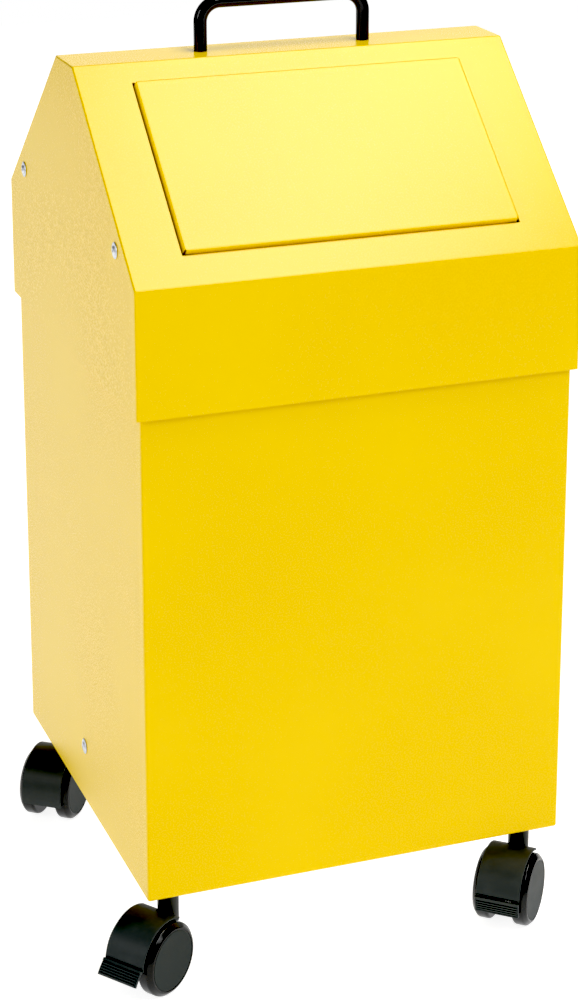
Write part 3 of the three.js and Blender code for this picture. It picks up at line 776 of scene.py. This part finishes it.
liner = soften(newPiece("innerContainer", buildLiner, [finishes["zinc_sheet"]]))
finishPiece(liner, "body", "zinc_sheet", "liner")

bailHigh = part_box("bail")[1] / mm
pivotZ = jointByName["bail_swing"]["pos_m"][2] / mm
bailX, crossY, crossZ = (reach - bailValues["wire"] for reach in bailHigh)
endX = linerHigh.x - bailValues["endInset"]


bailRoute = [Vector(point) for point in (
    (endX, 0, pivotZ), (bailX, 0, pivotZ), (bailX, crossY, crossZ), (-bailX, crossY, crossZ),
    (-bailX, 0, pivotZ), (-endX, 0, pivotZ))]
bailPath = [point * mm for point in filletedPath(bailRoute, bailValues["bend"])]
bail = roundBars("wireBail", [bailPath], bailValues["wire"], bailValues["sides"], finishes["bright_steel"])
finishPiece(bail, "bail", "bright_steel", "bail")
print("inner container made")

# casters: a curved guard over two wheels, with a ridged brake pedal on the front ones
casterValues = {
    "wheelRadius": 28.0, "trail": 23.0, "width": 44.0, "wheelWidth": 12.5, "hub": 8.0, "hubChamfer": 0.6,
    "bore": 3.3, "boreEnd": 20.5, "wheelGap": 0.3, "shoulder": 3.2, "shoulderRound": 2.6,
    "innerShoulder": 2.2, "disc": 23.4, "discEdge": 0.05, "discLine": 0.35, "discDish": 0.2, "wheelSides": 72,
    "guardInner": 29.6, "guardThick": 1.8, "guardWidth": 35.0, "guardEdge": 0.7, "guardEnd": 117.0,
    "guardSteps": 44, "webThick": 9.0, "webHub": 9.0, "webGap": 0.2, "webInset": 0.5, "webEdge": 0.3,
    "webEnd": 130.0, "hubSides": 48,
    "neck": 8.0, "neckFoot": 44.0, "neckTop": 70.9, "neckRound": 0.8, "neckBore": 4.3, "neckSides": 40,
}
pedalValues = {
    "inner": 30.4, "barrel": 0.9, "barrelSides": 24, "thick": 3.0, "start": 6.0, "end": -16.0, "hinge": 8.0,
    "edge": 0.6, "lipInset": 0.3, "lipEdge": 0.4, "lipAngle": 3.5, "sideGap": 0.1,
    "ridges": 5, "ridgeWidth": 1.5, "ridgeHeight": 0.8, "ridgeInset": 0.8, "ridgeSink": 0.3,
    "ridgesStart": 6.5, "ridgesEnd": 2.0,
    "armWidth": 7.0, "armReach": 10.0, "armOverlap": 1.0, "armAngle": 6.0, "armEdge": 0.8, "steps": 12,
}
guardStarts = {"braked": 10.0, "plain": -13.0}
casterHeadings = {"front_left": 215.0, "front_right": 228.0, "rear_left": 232.0, "rear_right": 34.0}


def aroundAxle(radial, y, angle):
    turn = math.radians(angle)
    return Vector((casterValues["trail"] + radial * math.cos(turn), y,
                   casterValues["wheelRadius"] + radial * math.sin(turn))) * mm


def sweepSector(bm, section, start, end, steps):  # section is (radius, y), swept about the axle
    angles = [start + (end - start) * k / steps for k in range(steps + 1)]
    joinRings(bm, [[aroundAxle(r, y, angle) for r, y in section] for angle in angles], caps=True)


def softRectangle(r0, r1, y0, y1, radius, steps=3):
    low, high = (r0 + radius, y0 + radius), (r1 - radius, y1 - radius)
    centres = ((high[0], high[1]), (low[0], high[1]), (low[0], low[1]), (high[0], low[1]))
    return [point for k, centre in enumerate(centres)
            for point in arc(centre, radius, 90 * k, 90 * (k + 1), steps)]


def buildHousing(bm, start):
    v = casterValues
    half = v["guardWidth"] / 2
    outer = v["guardInner"] + v["guardThick"]
    sweepSector(bm, softRectangle(v["guardInner"], outer, -half, half, v["guardEdge"]), start, v["guardEnd"],
                v["guardSteps"])
    web = v["webThick"] / 2
    webSection = softRectangle(v["bore"] + v["webGap"], outer - v["webInset"], -web, web, v["webEdge"], 1)
    sweepSector(bm, webSection, start, v["webEnd"], v["guardSteps"])
    hubRings = []
    for radius, y in ((v["bore"], -web), (v["webHub"], -web), (v["webHub"], web), (v["bore"], web)):
        hubRings.append([aroundAxle(radius, y, 360 * k / v["hubSides"]) for k in range(v["hubSides"])])
    joinRings(bm, hubRings, loop=True)
    crown = arc((v["neck"] - v["neckRound"], v["neckTop"] - v["neckRound"]), v["neckRound"], 0, 90, 4)
    lathe(bm, [(v["neck"], v["neckFoot"]), *crown, (v["neckBore"], v["neckTop"])], v["neckSides"])


def buildWheel(bm, side):
    v = casterValues
    face, radius, sides = v["width"] / 2, v["wheelRadius"], v["wheelSides"]
    inside, hubEnd = face - v["wheelWidth"], v["webThick"] / 2 + v["wheelGap"]
    hub, chamfer, bend, shoulder = v["hub"], v["hubChamfer"], v["innerShoulder"], v["shoulder"]
    profile = [(v["bore"], hubEnd), (hub, hubEnd), (hub, inside + chamfer), (hub + chamfer, inside)]
    profile += arc((radius - bend, inside + bend), bend, 270, 360, 6)
    outer = [Vector(point) for point in (
        (radius, inside + bend + 1.0, 0), (radius, face - shoulder, 0), (radius - shoulder, face, 0),
        (v["disc"] + 0.2, face, 0))]
    profile += [(point.x, point.y) for point in filletedPath(outer, v["shoulderRound"], 4)]
    shine = len(profile)  # up to here the wheel is polished
    disc, sunk = v["disc"], face - v["discEdge"]
    profile += [(disc + 0.1, face), (disc, face - v["discLine"]), (disc - 0.5, face - v["discLine"]),
                (disc - 0.7, sunk)]
    for share in (0.8, 0.6, 0.4, 0.2, 0.02):
        profile.append((disc * share, sunk - v["discDish"] * (1 - share ** 2)))

    def ring(r, y):
        return [aroundAxle(r, side * y, 360 * k / sides) for k in range(sides)]

    rings = [ring(r, y) for r, y in profile]
    joinRings(bm, rings[:shine + 3])
    joinRings(bm, rings[shine + 2:], material=1)
    bm.faces.new([bm.verts.new(point) for point in rings[-1]]).material_index = 1
    boreRings = [ring(v["bore"], y) for y in (hubEnd, v["boreEnd"])]
    joinRings(bm, boreRings)
    bm.faces.new([bm.verts.new(point) for point in boreRings[-1]])


def pedalTurn(flare):  # degrees that the pedal stands out
    hinge = aroundAxle(pedalValues["inner"], 0, pedalValues["hinge"])
    tilt = Matrix.Rotation(math.radians(-flare), 4, "Y")
    return Matrix.Translation(hinge) @ tilt @ Matrix.Translation(-hinge)


def buildPedal(bm):
    v = pedalValues
    half = casterValues["guardWidth"] / 2
    narrow = half - v["sideGap"]
    plateTop = v["inner"] + v["thick"] - v["ridgeHeight"]
    plate = softRectangle(v["inner"], plateTop, -half, half, v["edge"])
    sweepSector(bm, plate, v["start"], v["end"], v["steps"])
    lip = softRectangle(v["inner"] + v["lipInset"], v["inner"] + v["thick"], -narrow, narrow, v["lipEdge"])
    lipStart = v["start"] + 0.1
    sweepSector(bm, lip, lipStart, lipStart - v["lipAngle"], 3)
    sides = v["barrelSides"]
    circle = arc((0, 0), v["barrel"], 0, 360 - 360 / sides, sides - 1)
    joinRings(bm, [[aroundAxle(v["inner"], y, v["hinge"]) + Vector((x, 0, z)) * mm for x, z in circle]
                   for y in (-narrow, narrow)], caps=True)  # the barrel it turns on
    arm = v["armWidth"] / 2
    middle = (v["start"] + v["end"]) / 2
    armSection = softRectangle(v["inner"] - v["armReach"], v["inner"] + v["armOverlap"], -arm, arm,
                               v["armEdge"])
    sweepSector(bm, armSection, middle - v["armAngle"], middle + v["armAngle"], 4)


def buildRidge(bm):
    v = pedalValues
    width, height = v["ridgeWidth"] / 2, v["ridgeHeight"]
    half = casterValues["guardWidth"] / 2 - v["ridgeInset"]
    flank = [(-width, -v["ridgeSink"]), (-width, height * 0.4), (-width * 0.6, height * 0.9)]
    section = [*flank, (0, height), *((-y, z) for y, z in reversed(flank))]
    joinRings(bm, [[Vector((x, y, z)) * mm for y, z in section] for x in (-half, half)], caps=True)


def pedalRidges(name, turn):
    v = pedalValues
    first, last = v["start"] - v["ridgesStart"], v["end"] + v["ridgesEnd"]
    places = []
    for k in range(v["ridges"]):
        angle = first + (last - first) * k / (v["ridges"] - 1)
        point = aroundAxle(v["inner"] + v["thick"] - v["ridgeHeight"], 0, angle)
        outward = Vector((math.cos(math.radians(angle)), 0, math.sin(math.radians(angle))))
        places.append((turn @ point, turn.to_3x3() @ outward, turn.to_3x3() @ Vector((0, 1, 0))))
    ridge = newPiece(name + "Bar", buildRidge, [finishes["black_nylon"]])
    return placedCopies(name, ridge, places, finishes["black_nylon"])


nylonSet = [finishes["black_nylon"]]
for caster, heading in casterHeadings.items():
    swivel = Vector(jointByName["swivel_" + caster]["pos_m"])
    place = Matrix.Translation((swivel.x, swivel.y, 0)) @ Matrix.Rotation(math.radians(heading), 4, "Z")
    braked = "brake_press_" + caster in jointByName
    start = guardStarts["braked" if braked else "plain"]
    housing = soften(newPiece("housing_" + caster, lambda bm: buildHousing(bm, start), nylonSet, place))
    finishPiece(housing, "caster_" + caster, "black_nylon", f"caster_{caster}_housing")
    for wheel, side in (("a", -1), ("b", 1)):
        made = soften(newPiece(f"wheel_{caster}_{wheel}", lambda bm: buildWheel(bm, side),
                               [polishedNylon, discNylon], place))
        finishPiece(made, f"wheel_{caster}_{wheel}", "black_nylon", f"caster_{caster}_wheel_{wheel}")
    if braked:
        turn = place @ pedalTurn(jointByName["brake_press_" + caster]["range_deg"][1])
        plate = soften(newPiece("pedalPlate", buildPedal, nylonSet, turn))
        pedal = soften(joined("pedal_" + caster, [plate, pedalRidges("pedalRidges", turn)]))
        finishPiece(pedal, "brake_" + caster, "black_nylon", f"caster_{caster}_brake")
print("casters made")

# every node still showing gets its slot's finish
for node, shown in frame["nodes"].items():
    if node not in replacedNodes:
        if not shown.data.materials:
            shown.data.materials.append(None)
        for holder in shown.material_slots:
            holder.material = finishes[slotOfNode[node]]

# a plain floor, soft boxes, and a sky that the camera sees as white
studioValues = {
    "floorHalf": 3.6, "floorColour": rgb(0.62, 0.62, 0.62), "floorRoughness": 0.85, "floorSpecular": 0.2,
    "floorGlow": 0.86, "white": rgb(1, 1, 1), "sky": 0.20, "blackLevel": 0.046,
}
softboxes = {
    "overhead": {"place": (0.55, -0.3, 2.25), "aim": (0.0, -0.09, 0.6), "size": (0.92, 0.76),
                 "radiance": 8.4},
    "front": {"place": (0.9, -2.1, 2.5), "aim": (0.0, 0.0, 0.5), "size": (1.4, 1.2), "radiance": 5.6},
    "left": {"place": (-2.6, -0.7, 1.5), "aim": (0.0, 0.0, 0.4), "size": (1.4, 1.4), "radiance": 2.9},
    "back": {"place": (0.9, 2.9, 1.4), "aim": (0.0, 0.0, 0.5), "size": (3.0, 1.8), "radiance": 1.0},
}


def buildFloor(bm):
    half = studioValues["floorHalf"]
    bm.faces.new([bm.verts.new((x * half, y * half, 0.0)) for x, y in ((-1, -1), (1, -1), (1, 1), (-1, 1))])


floorFinish, floorGraph, _ = newFinish("floorFinish")
closeFinish(floorGraph, {
    "Base Color": studioValues["floorColour"], "Roughness": studioValues["floorRoughness"],
    "Specular IOR Level": studioValues["floorSpecular"], "Emission Color": studioValues["white"],
    "Emission Strength": studioValues["floorGlow"],
})
floor = newPiece("floor", buildFloor, [floorFinish])

for name, box in softboxes.items():
    light = bpy.data.lights.new(name + "Softbox", "AREA")
    light.shape = "RECTANGLE"
    light.size, light.size_y = box["size"]
    light.energy = box["radiance"] * math.pi * box["size"][0] * box["size"][1]
    lamp = bpy.data.objects.new(light.name, light)
    lamp.location = box["place"]
    lamp.rotation_euler = (Vector(box["aim"]) - Vector(box["place"])).to_track_quat("-Z", "Y").to_euler()
    lamp.visible_camera = False
    bpy.context.scene.collection.objects.link(lamp)

world = bpy.data.worlds.new("studioSky")
world.use_nodes = True
sky = Graph(world.node_tree)
seen = sky.add("ShaderNodeLightPath", out="Is Camera Ray")
glow = sky.add("ShaderNodeBackground", {}, {"Color": studioValues["white"], "Strength": studioValues["sky"]})
plain = sky.add("ShaderNodeBackground", {}, {"Color": studioValues["white"], "Strength": 1.0})
shown = sky.add("ShaderNodeMixShader", {}, {0: seen, 1: glow, 2: plain})
sky.add("ShaderNodeOutputWorld", {}, {"Surface": shown})
bpy.context.scene.world = world
viewSettings = bpy.context.scene.view_settings
viewSettings.view_transform = "Standard"
viewSettings.use_curve_mapping = True
viewSettings.curve_mapping.black_level = [studioValues["blackLevel"]] * 3

cameraValues = {"place": (-0.6495, -1.7747, 1.0459), "azimuth": -20.255, "down": 15.665, "lens": 91.99,
                "sensor": 36.0, "shiftY": -0.255}
camera = bpy.data.objects.new("camera", bpy.data.cameras.new("camera"))
camera.data.lens = cameraValues["lens"]
camera.data.sensor_width = cameraValues["sensor"]
camera.data.shift_y = cameraValues["shiftY"]
camera.location = cameraValues["place"]
camera.rotation_euler = (math.radians(90 - cameraValues["down"]), 0.0, math.radians(cameraValues["azimuth"]))
bpy.context.scene.collection.objects.link(camera)
bpy.context.scene.camera = camera
print("studio made")
